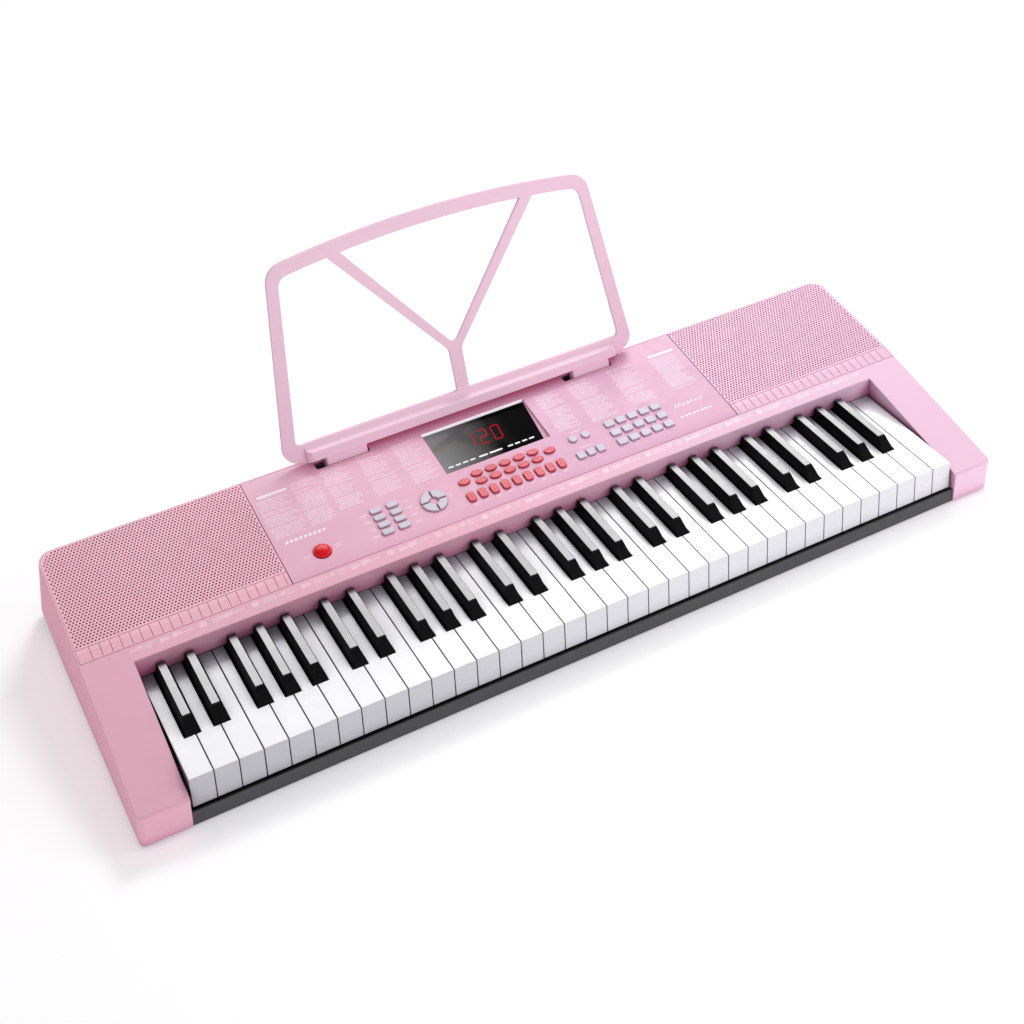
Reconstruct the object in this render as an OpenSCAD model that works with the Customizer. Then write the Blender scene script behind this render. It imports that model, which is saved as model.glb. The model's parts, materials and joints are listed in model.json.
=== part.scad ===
// Portable electronic keyboard, 61 keys, with a lift-out music rest.
// Millimetres, +Z up, +X towards the high notes, +Y towards the rear.
// Origin: centre of the overall footprint, on the desk plane.
// Parts are drawn with y = 0 at the key fronts and z = 0 at the white key tops;
// in_place() moves them to the origin above.

/* [Case] */
// overall width
body_w = 946; // [900:1:1000]
// wall thickness of the upper case
wall = 2.6; // [2:0.1:4]
// slope of the rear deck, degrees
deck_a = 8.81; // [5:0.1:12]
// height of the rubber feet
foot_h = 3; // [2:0.5:6]

/* [Keys] */
// white key pitch
pitch = 23.5; // [22:0.1:24.5]
// gap between two white keys
key_gap = 0.8; // [0.5:0.1:1.5]
// visible length of a white key
key_len = 140; // [125:1:150]
// height of a white key's front face
key_face = 32; // [20:1:36]
// black key width at its foot
black_w = 13.4; // [10:0.1:14]
// black key width at its top
black_top_w = 7.6; // [6:0.1:10]
// black key height above the whites
black_h = 12.5; // [10:0.5:14]
// front of a black key's foot, from the key front
black_y = 49; // [45:1:55]

/* [Controls] */
// height of a button above the panel
cap_h = 2.2; // [1:0.1:4]
// gap between a button and its hole
cap_gap = 0.35; // [0.2:0.05:0.6]
// display opening width
disp_w = 123.2; // [90:1:140]
// display opening length along the deck
disp_l = 63.2; // [40:1:80]

/* [Music rest] */
// backward lean from vertical, degrees
rest_a = 16.5; // [10:0.5:25]
// thickness of the rest frame
rest_t = 4.6; // [3:0.1:8]

/* [Hidden] */
$fn = 48;
overlap = 0.01;
floor_z = -49;                    // underside of the tray
origin_y = 178.3;                 // depth of the origin behind the key front
key_top_z = foot_h - floor_z;     // height of the key tops above the desk
half_w = body_w / 2;

// case section
bend_y = 168;                     // bend between front slope and rear deck
bend_z = 27.9;
front_slope = (bend_z + 12.8) / (bend_y + 6);
cheek_y = -6.8;                   // upper front edge of the cheeks
cheek_z = -15;
front_foot = [-4.2, -48.5];       // lower front edge of the cheeks
front_brow = [cheek_y + 0.1, cheek_z - 1.5];
rear_y = 337.5;                   // rear face
corner_r = 16;                    // rounding of the rear corners
front_r = 6;                      // rounding of the front corners
floor_top = floor_z + 2.5;
root_z = floor_top - 0.5;         // foot of the parts that stand on the floor
deck_t = 5;                       // total deck thickness

// deck inserts: control panel in the middle, a grille on each side
insert_t = 2.4;                   // depth of their seats
insert_y0 = 157.5;
insert_y1 = 300.0;
seam_x = 260;                     // seam between panel and grilles
seam_gap = 0.4;                   // half of the gap at a seam
grille_x = 471;                   // outer edge of the grilles
speaker_x = 366;
speaker_y = 236;

// keys
octave_w = 7 * pitch;
middle = 2;                       // number of the octave built key by key
keys_x0 = -36 * pitch / 2;        // left edge of the lowest of 36 white keys
keys_x1 = -keys_x0;
well_half_w = keys_x1 + 2.5;
well_y = key_len + 0.5;           // front of the well's rear wall
well_back = well_y + wall;
pivot_y = 200;                    // key pivot bar
pivot_z = -6;
pivot_r = 2.5;
slot_half_w = 8.05;               // half width of the slot around a black key
black_x = [20.6, 48.6, 90.6, 117.7, 144.8];      // black key centres in an octave
black_right = [0, 1, -1, 2, 3, 4, -1];           // black key on a white key's right
black_left = [-1, 0, 1, -1, 2, 3, 4];            // and on its left
felt_z = -26;
contact_y0 = 92;                  // contact board
contact_y1 = 138;
contact_z = -27.5;
contact_top = -25.9;

// display, boards and sockets
disp_x = -0.8;                    // centre of the display opening
disp_y = 218.7;                   // front edge of the display opening
board_z = -42;                    // main board
board_top = -40.4;
board_xy = [for (x = [50, 190], y = [246, 310]) [x, y]];   // its screws
panel_board_z = -7.8;             // panel board, below the deck surface
panel_board_top = -6.2;
panel_screw_x = [-182, 64, 215];
panel_screw_y = 210;
jack_x = 90;
usb_x = 120;
socket_z = -36;

// battery bay, inside
bay_x = [-205, -75];
bay_y = [225, 297];
cell_pitch = 17;

// music rest
rest_y = 293.4;                   // foot line
rest_z = 48;
shelf_d = 8;
rest_foot_x = [[-168.5, -121.5], [128, 175]];
rest_top = 230.5;                 // crown of the outline
hole_top = 214.5;                 // crown of the openings
arch_r = 1212;

// colours
pink = [0.90, 0.70, 0.79];
panel_pink = [0.91, 0.72, 0.81];
dark = [0.20, 0.20, 0.22];
white = [0.93, 0.93, 0.96];
black = [0.05, 0.05, 0.055];
coral = [0.94, 0.45, 0.48];
grey = [0.76, 0.76, 0.85];
board_green = [0.10, 0.36, 0.20];
screw_steel = [0.6, 0.6, 0.62];

// ---------- helpers ----------
function unit(v) = v / norm(v);
// arc points that round the corner between two neighbouring points
function fillet(before, corner, after, r, steps) = r <= 0 ? [corner] :
  let (u = unit(before - corner),
       v = unit(after - corner),
       half = acos(max(-1, min(1, u * v))) / 2,
       centre = corner + unit(u + v) * r / sin(half),
       from = corner + u * r / tan(half) - centre,
       to = corner + v * r / tan(half) - centre,
       start = atan2(from[1], from[0]),
       turn = atan2(to[1], to[0]) - start,
       sweep = turn > 180 ? turn - 360 : turn < -180 ? turn + 360 : turn)
  [for (i = [0 : steps]) let (a = start + sweep * i / steps) centre + r * [cos(a), sin(a)]];
// polygon points with rounded corners; r is one radius or a list
function rounded(pts, r, steps = 4) = let (n = len(pts))
  [for (i = [0 : n - 1])
    each fillet(pts[(i + n - 1) % n], pts[i], pts[(i + 1) % n], is_list(r) ? r[i] : r, steps)];
function corners(x0, x1, y0, y1) = [[x0, y0], [x1, y0], [x1, y1], [x0, y1]];
function slope_z(y) = bend_z + (y - bend_y) * front_slope;
function deck_z(y) = bend_z + (y - bend_y) * tan(deck_a);
function top_z(y) = y < bend_y ? slope_z(y) : deck_z(y);
function along(y) = (y - bend_y) / cos(deck_a);      // distance up the deck from the bend

module in_place() translate([0, -origin_y, key_top_z]) children();
module extrude_x(width, x = 0) translate([x, 0, 0]) rotate([90, 0, 90])
  linear_extrude(height = width, center = true) children();
module box(x0, x1, y0, y1, z0, z1) translate([x0, y0, z0]) cube([x1 - x0, y1 - y0, z1 - z0]);
module rod_x(x0, x1, y, z, r, facets = 48) translate([x0, y, z]) rotate([0, 90, 0])
  cylinder(r = r, h = x1 - x0, $fn = facets);
module round_rect(width, depth, r, steps)
  polygon(rounded(corners(-width / 2, width / 2, -depth / 2, depth / 2), r, steps));
module at_xy(places, z = 0) for (p = places) translate([p[0], p[1], z]) children();
// frame on the deck: local y runs up the slope, local z is normal to it
module on_deck(x = 0, y = bend_y, z = 0) translate([0, bend_y, bend_z]) rotate([deck_a, 0, 0])
  translate([x, along(y), z]) children();
// frame on the music rest: local y runs up the rest, local z points forwards
module on_rest() translate([0, rest_y, rest_z]) rotate([90 - rest_a, 0, 0]) children();
// side section that follows the case top from y0 to y1
module top_strip(y0, y1, above, below) polygon([
  [y0, top_z(y0) + above], [bend_y, bend_z + above], [y1, top_z(y1) + above],
  [y1, top_z(y1) - below], [bend_y, bend_z - below], [y0, top_z(y0) - below]]);
// display opening on the deck, grown on all four sides
module display_box(grow, z0, z1)
  box(disp_x - disp_w / 2 - grow, disp_x + disp_w / 2 + grow,
    along(disp_y) - grow, along(disp_y) + disp_l + grow, z0, z1);
module bay_box(grow, z0, z1)
  box(bay_x[0] - grow, bay_x[1] + grow, bay_y[0] - grow, bay_y[1] + grow, z0, z1);

// ---------- case ----------
rear_r = 3;                       // rounding between deck and rear wall
rear_lean = 25;                   // lean of the rear wall, degrees
deck_end = [300.3, deck_z(300.3)];
rear_centre = deck_end + rear_r * [sin(deck_a), -cos(deck_a)];
rear_arc = [for (i = [0 : 7]) let (a = 90 + deck_a - i * (90 + deck_a - rear_lean) / 7)
  rear_centre + rear_r * [cos(a), sin(a)]];
rear_wall_top = rear_arc[7];
rear_wall_end = rear_wall_top + 70 * [sin(rear_lean), -cos(rear_lean)];

// plan with round rear corners, swept along the rear wall
module rear_round(inset) translate([0, rear_wall_top[0], rear_wall_top[1]])
  rotate([rear_lean, 0, 0]) translate([0, 0, -140]) linear_extrude(height = 280)
    polygon(rounded(corners(-half_w + inset, half_w - inset, -420, 0.05 - inset),
      [0, 0, corner_r - inset, corner_r - inset], 8));

module body_outer() intersection() {
  extrude_x(body_w + 10) polygon(concat(
    [front_foot, front_brow, [cheek_y + 0.9, cheek_z + 1], [-4.6, slope_z(-4.6)]],
    [[bend_y, bend_z]], rear_arc,
    [rear_wall_end, [336.6, -21.5], [rear_y, -26], [rear_y, front_foot[1]]]));
  rear_round(-0.05);
  translate([0, 0, -80]) linear_extrude(height = 160)
    polygon(rounded(corners(-half_w, half_w, -8, rear_y + 0.1), [0, 0, 10, 10], 5));
  // round front corners that follow the lean of the cheek faces
  translate([0, front_foot[0], front_foot[1]])
    rotate([atan((front_foot[0] - front_brow[0]) / (front_brow[1] - front_foot[1])), 0, 0])
      translate([0, 0, -20]) linear_extrude(height = 170)
        polygon(rounded(corners(-half_w, half_w, -0.05, 420), [front_r, front_r, 0, 0], 8));
}

// screw posts of the case, [x, y]
post_xy = [[-450, 26], [450, 26], [-450, 118], [450, 118], [-452, 300], [452, 300],
           [-230, 322], [230, 322], [-40, 322], [300, 322], [-300, 322]];
post_z = -46.4;
function post_top(y) = y < 150 ? slope_z(y) - 2 : y < 310 ? deck_z(y) - 4 : 8;

// inside of the outer walls, from below the case up
module inner(h) translate([0, 0, -60]) linear_extrude(height = h)
  polygon(rounded(corners(-half_w + wall, half_w - wall, 0.5, 334.8), [0, 0, 7.4, 7.4], 5));

// column on the rest: x from x0 to x1, up the rest from u0 to u1, thickness grown on both sides
module rest_column(x0, x1, u0, u1, grow, r) on_rest() translate([0, u1, 0]) rotate([90, 0, 0])
  linear_extrude(height = u1 - u0)
    polygon(rounded(corners(x0, x1, -rest_t - grow, shelf_d + grow), r, 4));
module rest_slots() for (x = rest_foot_x) rest_column(x[0] - 12.4, x[1] + 2, -40, 14, 0.5, 2.5);

module main_cavity() intersection() {
  extrude_x(body_w) polygon([[well_back, -60], [well_back, slope_z(well_back) - deck_t],
    [bend_y, bend_z - deck_t], [297.5, deck_z(297.5) - deck_t], [301.6, 40], [310.6, 25.2],
    [330.8, -18.2], [334.8, -26.6], [334.8, -60]]);
  inner(120);
  rear_round(wall - 0.05);
}
module cheek_cavities() for (side = [-1, 1])
  extrude_x(half_w - wall - well_half_w - wall, side * (half_w + well_half_w) / 2)
    polygon([[-1.5, -60], [-4, -17], [-2.4, slope_z(-2.4) - 3],
      [well_back + 1, slope_z(well_back + 1) - 3], [well_back + 1, -60]]);

module top_case() color(pink) in_place() difference() {
  union() {
    difference() {
      body_outer();
      main_cavity();
      inner(13.6);
      cheek_cavities();
      // key well, open at the front
      box(-well_half_w, well_half_w, -60, well_y, -100, 100);
      box(-well_half_w, well_half_w, well_y - 1, well_back + 1, -100, 1);
      // seats of the deck inserts
      intersection() {
        extrude_x(body_w) top_strip(insert_y0 - 0.4, insert_y1 + 0.15, 6, insert_t);
        rear_round(half_w - grille_x - 0.15);
      }
      // opening below the control panel
      extrude_x(2 * 255) top_strip(161, 292, 6, 12);
      // speaker openings
      for (side = [-1, 1]) on_deck(side * speaker_x, speaker_y, -12)
        cylinder(r = 41, h = 24, $fn = 72);
      // rear sockets
      translate([jack_x, 330, socket_z]) rotate([-90, 0, 0]) cylinder(r = 4.7, h = 20);
      box(usb_x - 5.4, usb_x + 5.4, 330, 345, socket_z - 2.3, socket_z + 2.3);
    }
    // rails under the seams between panel and grilles
    for (side = [-1, 1]) extrude_x(8, side * seam_x)
      top_strip(insert_y0, insert_y1, -insert_t, deck_t + 3);
    // screw posts
    intersection() {
      for (p = post_xy) translate([p[0], p[1], post_z])
        cylinder(r = 4, h = post_top(p[1]) - post_z);
      body_outer();
    }
  }
  at_xy(post_xy, -60) cylinder(r = 1.5, h = 40);
  rest_slots();
}

module bottom_case() color(dark) in_place() {
  side_x = half_w - wall - 0.2;
  front_x = well_half_w - 0.2;
  difference() {
    union() {
      // floor
      translate([0, 0, floor_z]) linear_extrude(height = floor_top - floor_z)
        polygon(rounded(corners(-side_x, side_x, 1.2, 334.6), [3, 3, 7, 7], 4));
      // front wall below the keys, with gussets
      box(-front_x, front_x, -3.2, 1.3, floor_z, floor_top);
      box(-front_x, front_x, -3.2, -0.8, floor_z, -34);
      for (i = [0 : 12]) box(-420 + i * 70 - 0.8, -420 + i * 70 + 0.8, -1, 5, root_z, -42);
      // battery box
      bay_box(2, root_z, -26.5);
      // board standoffs
      at_xy(board_xy, root_z) cylinder(r = 3.4, h = board_z - root_z);
      // stiffening ribs
      for (x = [[-440, -215], [215, 440]], y = [232, 305])
        box(x[0], x[1], y, y + 1.6, root_z, -40);
      // screw bosses
      at_xy(post_xy, floor_z) cylinder(r = 5.2, h = floor_top - floor_z);
    }
    // battery bay, door opening and door seat
    bay_box(0, -47.2, -28);
    bay_box(-2, -60, -47);
    bay_box(2, -60, -47.1);
    at_xy(post_xy, -60) {
      cylinder(r = 1.7, h = 30);
      cylinder(r = 3.3, h = 12.2);
    }
    at_xy(board_xy, -46) cylinder(r = 1.3, h = 10);
    // vent slots
    for (side = [-1, 1], i = [0 : 9]) translate([side * speaker_x + i * 6.5, 0, 0])
      box(-30, -27.5, 250, 290, -60, -40);
  }
}

module battery_door() color(dark) in_place() difference() {
  union() {
    bay_box(1.7, floor_z, -47.15);
    bay_box(-2.4, -47.2, -45.6);
  }
  bay_box(-7, -47, -40);
  // grooves in the underside
  for (i = [0 : 4]) box(-155, -125, 280 + i * 2.6, 281.2 + i * 2.6, -50, -48.4);
}

module battery_contacts() color([0.75, 0.75, 0.78]) in_place()
  for (i = [0 : 3]) translate([0, i * cell_pitch, 0]) {
    box(bay_x[0] + 0.1, bay_x[0] + 0.6, 229, 240, -44, -32);
    box(bay_x[1] - 0.6, bay_x[1] - 0.1, 229, 240, -44, -32);
    rod_x(bay_x[0] + 0.5, bay_x[0] + 6, 234.5, -38, 3.4, 24);
    rod_x(bay_x[1] - 2.2, bay_x[1] - 0.5, 234.5, -38, 2.4, 24);
  }

module rubber_feet() color([0.12, 0.12, 0.13]) in_place()
  for (x = [-430, 0, 430], y = [24, 308]) translate([x, y, floor_z - foot_h])
    cylinder(r = 9, h = foot_h);

// cross recess of a screw head
module cross_slot(reach, z0, z1) for (a = [0, 90]) rotate([0, 0, a])
  box(-reach, reach, -0.35, 0.35, z0, z1);

module case_screws() color(screw_steel) in_place() at_xy(post_xy) difference() {
  translate([0, 0, -48.6]) {
    cylinder(r = 3.0, h = 0.8);
    cylinder(r = 1.45, h = 18);
  }
  cross_slot(1.8, -49, -48.2);
}

// pan-head screw, head up from the origin, shank down
module screw(shank) difference() {
  union() {
    cylinder(r = 2.8, h = 1.5);
    translate([0, 0, -shank]) cylinder(r = 1.25, h = shank + overlap);
  }
  cross_slot(1.7, 0.8, 2);
}
module board_screws() color(screw_steel) in_place() {
  at_xy(board_xy, board_top) screw(5.2);
  for (x = panel_screw_x) on_deck(x, panel_screw_y, panel_board_z) rotate([180, 0, 0]) screw(5.2);
}

// ---------- boards ----------
// blocks on the main board: x0, x1, y0, y1, top z
board_blocks = [
  [80, 108, 262, 290, -38], [124, 140, 262, 290, -38.4], [152, 176, 256, 268, -37.6],
  [150, 184, 296, 304, -32], [60, 72, 296, 314, -34]];

module main_board() color(board_green) in_place() difference() {
  union() {
    block_z = board_top - 0.1;
    box(42, 198, 238, 318, board_z, board_top);
    for (b = board_blocks) box(b[0], b[1], b[2], b[3], block_z, b[4]);
    for (x = [66, 118, 146, 166, 182]) translate([x, 250, block_z]) cylinder(r = 4, h = 9);
    for (x = [84 : 7 : 112]) box(x, x + 4, 300, 303, block_z, -39.2);
  }
  at_xy(board_xy, -50) cylinder(r = 1.6, h = 20);
}

module panel_board() color(board_green) in_place() difference() {
  on_deck() box(-244, 244, 4, 45.5, panel_board_z, panel_board_top);
  for (x = panel_screw_x) on_deck(x, panel_screw_y, -10) cylinder(r = 1.6, h = 10);
}

module panel_membrane() color([0.85, 0.85, 0.86]) in_place() on_deck() {
  for (x = [[-235, -202], [-162, -68], [-62, 60], [68, 192]])
    box(x[0], x[1], 4.5, 44, panel_board_top, -5.4);
  on_spots(all_buttons) translate([0, 0, -5.5]) cylinder(r1 = 3, r2 = 2.4, h = 0.85, $fn = 16);
}

module led_display() color([0.08, 0.08, 0.09]) in_place() on_deck() {
  box(-60, 58.6, along(disp_y) + 2, along(disp_y) + disp_l - 2, -9.2, -7.6);
  box(-30, 36, along(236), along(268), -7.7, -5.4);
}

module display_window() color([0.12, 0.12, 0.13, 0.6]) in_place() on_deck()
  display_box(-0.15, -5.2, -3.4);

// ---------- deck inserts ----------
module insert_section() top_strip(insert_y0, insert_y1, 0, insert_t - 0.05);

module control_panel() color(panel_pink) in_place() {
  panel_plate();
  // slanted bezel at the right of the display
  y0 = along(disp_y) - 0.4;
  y1 = along(disp_y) + disp_l + 0.4;
  on_deck() translate([0, 0, -3.35]) linear_extrude(height = 1.2)
    polygon([[54, y0], [61.2, y0], [61.2, y1], [60.4, y1]]);
}
module panel_plate() difference() {
  union() {
    extrude_x(2 * (seam_x - seam_gap)) insert_section();
    on_deck() display_box(1.8, -6.6, -1);
    // screw stand-offs of the panel board
    for (x = panel_screw_x) on_deck(x, panel_screw_y, -6.15) cylinder(r = 3, h = 5);
  }
  for (x = panel_screw_x) on_deck(x, panel_screw_y, -8) cylinder(r = 1.3, h = 6.2);
  on_deck() display_box(0, -20, 5);
  on_deck() translate([0, 0, -12]) linear_extrude(height = 24) button_shapes(cap_gap);
  rest_slots();
}

groove_d = 0.6;
module grille(side) color(pink) in_place() difference() {
  inner_x = seam_x + seam_gap;
  intersection() {
    extrude_x(half_w - inner_x, side * (half_w + inner_x) / 2) insert_section();
    rear_round(half_w - grille_x);
  }
  // short grooves across the bend, then one long groove behind them
  y0 = insert_y0 + 1;
  for (i = [0 : 20]) extrude_x(0.7, side * (seam_x + 4.5 + i * 9.7))
    polygon([[y0, slope_z(y0) - groove_d], [bend_y, bend_z - groove_d],
      [172.5, deck_z(172.5) - groove_d], [172.5, 60], [y0, 60]]);
  extrude_x(grille_x - seam_x + 2, side * (grille_x + seam_x) / 2)
    polygon([[173.2, deck_z(173.2) - groove_d], [173.9, deck_z(173.9) - groove_d],
      [173.9, 60], [173.2, 60]]);
}
module grille_left() grille(-1);
module grille_right() grille(1);

// ---------- speakers ----------
// half sections, [radius, height]
basket_section = [
  [38, -0.05], [46, -0.05], [46, -1.6], [43, -1.6], [27, -24], [27, -26],
  [12, -26], [12, -24.6], [25.4, -24.6], [41.4, -1.7], [38, -1.7]];
cone_section = [
  [0, -14], [6, -14.6], [11, -17], [11.4, -24], [12.2, -24], [12.2, -17.6],
  [33, -3.2], [35, -2.2], [37.8, -2.9], [37.8, -2.2], [35, -1.4], [32.6, -2.4],
  [12, -16.4], [6.4, -13.6], [0, -13]];

module at_speaker(side) in_place() on_deck(side * speaker_x, speaker_y, -4.94) children();
module basket(side) color([0.15, 0.15, 0.16]) at_speaker(side) difference() {
  rotate_extrude($fn = 72) polygon(basket_section);
  for (a = [0 : 60 : 300]) rotate([0, 0, a]) translate([25, -7, -21]) cube([14, 14, 12]);
}
module cone(side) color([0.08, 0.08, 0.09]) at_speaker(side)
  rotate_extrude($fn = 72) polygon(cone_section);
module magnet(side) color([0.45, 0.45, 0.47]) at_speaker(side) translate([0, 0, -40]) {
  cylinder(r = 24, h = 13.9, $fn = 72);
  cylinder(r = 10, h = 15.2);
}
module speaker_basket_left() basket(-1);
module speaker_basket_right() basket(1);
module speaker_cone_left() cone(-1);
module speaker_cone_right() cone(1);
module speaker_magnet_left() magnet(-1);
module speaker_magnet_right() magnet(1);

// ---------- sockets ----------
module phones_jack() color([0.1, 0.1, 0.1]) in_place() difference() {
  union() {
    translate([jack_x, 321, socket_z]) rotate([-90, 0, 0]) cylinder(r = 4.4, h = 16.6);
    box(jack_x - 6, jack_x + 6, 321, 334.6, socket_z - 5.6, socket_z + 5.6);
  }
  translate([jack_x, 324, socket_z]) rotate([-90, 0, 0]) cylinder(r = 1.8, h = 20);
}
module usb_socket() color([0.7, 0.7, 0.72]) in_place() {
  difference() {
    translate([usb_x, 337.3, socket_z]) rotate([90, 0, 0])
      linear_extrude(height = 8.3) round_rect(9.2, 3.4, 1.6, 4);
    translate([usb_x, 340, socket_z]) rotate([90, 0, 0])
      linear_extrude(height = 10) round_rect(8.4, 2.6, 1.2, 4);
  }
  // tongue and rear body
  box(usb_x - 3.4, usb_x + 3.4, 329.2, 336.2, socket_z - 0.35, socket_z + 0.35);
  box(usb_x - 7, usb_x + 7, 324, 329.4, -40.4, -32);
}

// ---------- key bed ----------
function octave_x(k) = keys_x0 + k * octave_w;
// pivot bar brackets: at each octave's C and F, and at the right end
bracket_x = concat([for (k = [0 : 5]) octave_x(k)],
  [for (k = [0 : 4]) octave_x(k) + 3 * pitch], [keys_x1]);

module key_frame() color([0.82, 0.82, 0.80]) in_place() difference() {
  union() {
    box(keys_x0 - 1, keys_x1 + 1, 8, 222, -36, -33.5);
    for (y = [30, 110, 190]) box(keys_x0, keys_x1, y, y + 2, -46.5, -35.9);
    // felt rail, contact board rails and rear wall
    box(keys_x0, keys_x1, 17, 27, -34, felt_z);
    for (y = [contact_y0, contact_y1 - 2]) box(keys_x0, keys_x1, y, y + 2, -34, contact_z);
    box(keys_x0 - 1, keys_x1 + 1, 217, 220, -34, -14);
    for (x = bracket_x) box(x - 1, x + 1, pivot_y - 3, pivot_y + 3, -34, pivot_z + 1.5);
    rod_x(keys_x0 - 1, keys_x1 + 1, pivot_y, pivot_z, pivot_r);
  }
  // hollow of the felt rail, then two rows of windows
  box(keys_x0 + 2, keys_x1 - 2, 19, 25, -40, -28);
  for (y = [[45, 85], [148, 184]], i = [0 : 9])
    box(keys_x0 + 20 + i * 84, keys_x0 + 70 + i * 84, y[0], y[1], -40, -30);
}
module key_felt() color([0.75, 0.16, 0.16]) in_place()
  box(keys_x0 + 1, keys_x1 - 1, 18, 26, felt_z, -23.5);
module contact_board() color(board_green) in_place()
  box(keys_x0 + 2, keys_x1 - 2, contact_y0, contact_y1, contact_z, contact_top);
module contact_dome(x) translate([x, 115, -24.8]) cylinder(r1 = 4.2, r2 = 3, h = 4.9, $fn = 24);
module rubber_contacts() color([0.88, 0.88, 0.86]) in_place() {
  box(keys_x0 + 3, keys_x1 - 3, 104, 126, contact_top, -24.7);
  for (k = [0 : 4]) {
    for (j = [0 : 6]) contact_dome(octave_x(k) + neck_mid(j));
    for (x = black_x) contact_dome(octave_x(k) + x);
  }
  contact_dome(keys_x1 - pitch / 2);
}

// ---------- keys ----------
// neck of white key j (0 is C), from the left edge of its octave
function neck_left(j) = black_left[j] < 0
  ? j * pitch + key_gap / 2 : black_x[black_left[j]] + slot_half_w;
function neck_right(j) = black_right[j] < 0
  ? (j + 1) * pitch - key_gap / 2 : black_x[black_right[j]] - slot_half_w;
function neck_mid(j) = (neck_left(j) + neck_right(j)) / 2;

key_side = 15;                    // depth of a white key's sides
key_skin = 1.6;                   // side wall thickness
key_top_t = 2.4;                  // top thickness

module hub(x) {
  box(x - 4, x + 4, 186, pivot_y, pivot_z - 4.5, pivot_z + 4.4);
  rod_x(x - 4, x + 4, pivot_y, pivot_z, 5, 36);
}
module hub_cut(x0, x1) {
  rod_x(x0, x1, pivot_y, pivot_z, pivot_r + 0.05);
  box(x0, x1, pivot_y - 2.1, pivot_y + 2.1, pivot_z - 12, pivot_z);
}
// one white key; x is the left edge of its octave, neck_x0 and neck_x1 bound its neck
module white_key(x, j, neck_x0, neck_x1) {
  x0 = x + j * pitch + key_gap / 2;
  x1 = x + (j + 1) * pitch - key_gap / 2;
  n0 = x + neck_x0;
  n1 = x + neck_x1;
  difference() {
    union() {
      box(x0, x1, 0, black_y - 0.8, -key_side, 0);
      box(n0, n1, black_y - 2, 188, -key_side, 0);
      // front face and its side returns
      box(x0, x1, 0, 3, -key_face, -1);
      box(x0, x0 + key_skin, 0, 12, -24, -14);
      box(x1 - key_skin, x1, 0, 12, -24, -14);
      hub((n0 + n1) / 2);
    }
    box(x0 + key_skin, x1 - key_skin, 3, black_y - 2.4, -key_side - 1, -key_top_t);
    box(n0 + key_skin, n1 - key_skin, black_y - 3, 186, -key_side - 1, -key_top_t);
    hub_cut(n0 - 1, n1 + 1);
  }
}
// one black key centred on x
module black_key(x) difference() {
  foot = black_w / 2;
  crown = black_top_w / 2;
  union() {
    intersection() {
      extrude_x(20, x) polygon([[black_y, -10], [black_y, 0], [black_y + 11.6, black_h - 0.9],
        [black_y + 13.2, black_h], [key_len - 2.6, black_h], [key_len - 1.4, black_h - 1.2],
        [key_len - 1.4, -10]]);
      translate([x, 200, 0]) rotate([90, 0, 0]) linear_extrude(height = 200)
        polygon([[-foot, -11], [foot, -11], [foot, 0], [crown + 0.5, black_h - 0.6],
          [crown, black_h], [-crown, black_h], [-crown - 0.5, black_h - 0.6], [-foot, 0]]);
    }
    box(x - 4.5, x + 4.5, key_len - 8, 188, -10, -1.2);
    hub(x);
  }
  box(x - 4, x + 4, black_y + 4, key_len - 9, -11, 0);
  box(x - 2.9, x + 2.9, key_len - 9.5, 184, -11, -3.4);
  hub_cut(x - 6, x + 6);
}
// the seven white keys of octave k, joined behind the pivot
module white_comb(k) color(white) in_place() {
  x = octave_x(k);
  z1 = pivot_z - 0.6;
  for (j = [0 : 6]) white_key(x, j, neck_left(j), neck_right(j));
  box(x + neck_mid(0) - 4, x + neck_mid(6) + 4, pivot_y + 5.5, pivot_y + 9.2, pivot_z - 6, z1);
  for (j = [0 : 6]) translate([x + neck_mid(j), 0, 0])
    box(-4, 4, pivot_y + 2.8, pivot_y + 5.6, pivot_z - 3.4, z1);
}
// the five black keys of octave k, joined above and behind the pivot
module black_comb(k) color(black) in_place() {
  x = octave_x(k);
  z0 = pivot_z + 1.6;
  z1 = pivot_z + 4.6;
  for (b = black_x) {
    black_key(x + b);
    box(x + b - 4, x + b + 4, pivot_y + 2.7, pivot_y + 13, z0, z1);
  }
  box(x + black_x[0] - 4, x + black_x[4] + 4, pivot_y + 9.6, pivot_y + 13, z0, z1);
}
module one_white(j) color(white) in_place()
  white_key(octave_x(middle), j, neck_left(j), neck_right(j));
module one_black(i) color(black) in_place() black_key(octave_x(middle) + black_x[i]);

module white_comb_1() white_comb(0);
module white_comb_2() white_comb(1);
module white_comb_4() white_comb(3);
module white_comb_5() white_comb(4);
module black_comb_1() black_comb(0);
module black_comb_2() black_comb(1);
module black_comb_4() black_comb(3);
module black_comb_5() black_comb(4);
module key_c() one_white(0);
module key_d() one_white(1);
module key_e() one_white(2);
module key_f() one_white(3);
module key_g() one_white(4);
module key_a() one_white(5);
module key_b() one_white(6);
module key_c_sharp() one_black(0);
module key_d_sharp() one_black(1);
module key_f_sharp() one_black(2);
module key_g_sharp() one_black(3);
module key_a_sharp() one_black(4);
module key_top_c() color(white) in_place()
  white_key(octave_x(5), 0, key_gap / 2, pitch - key_gap / 2);

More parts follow.
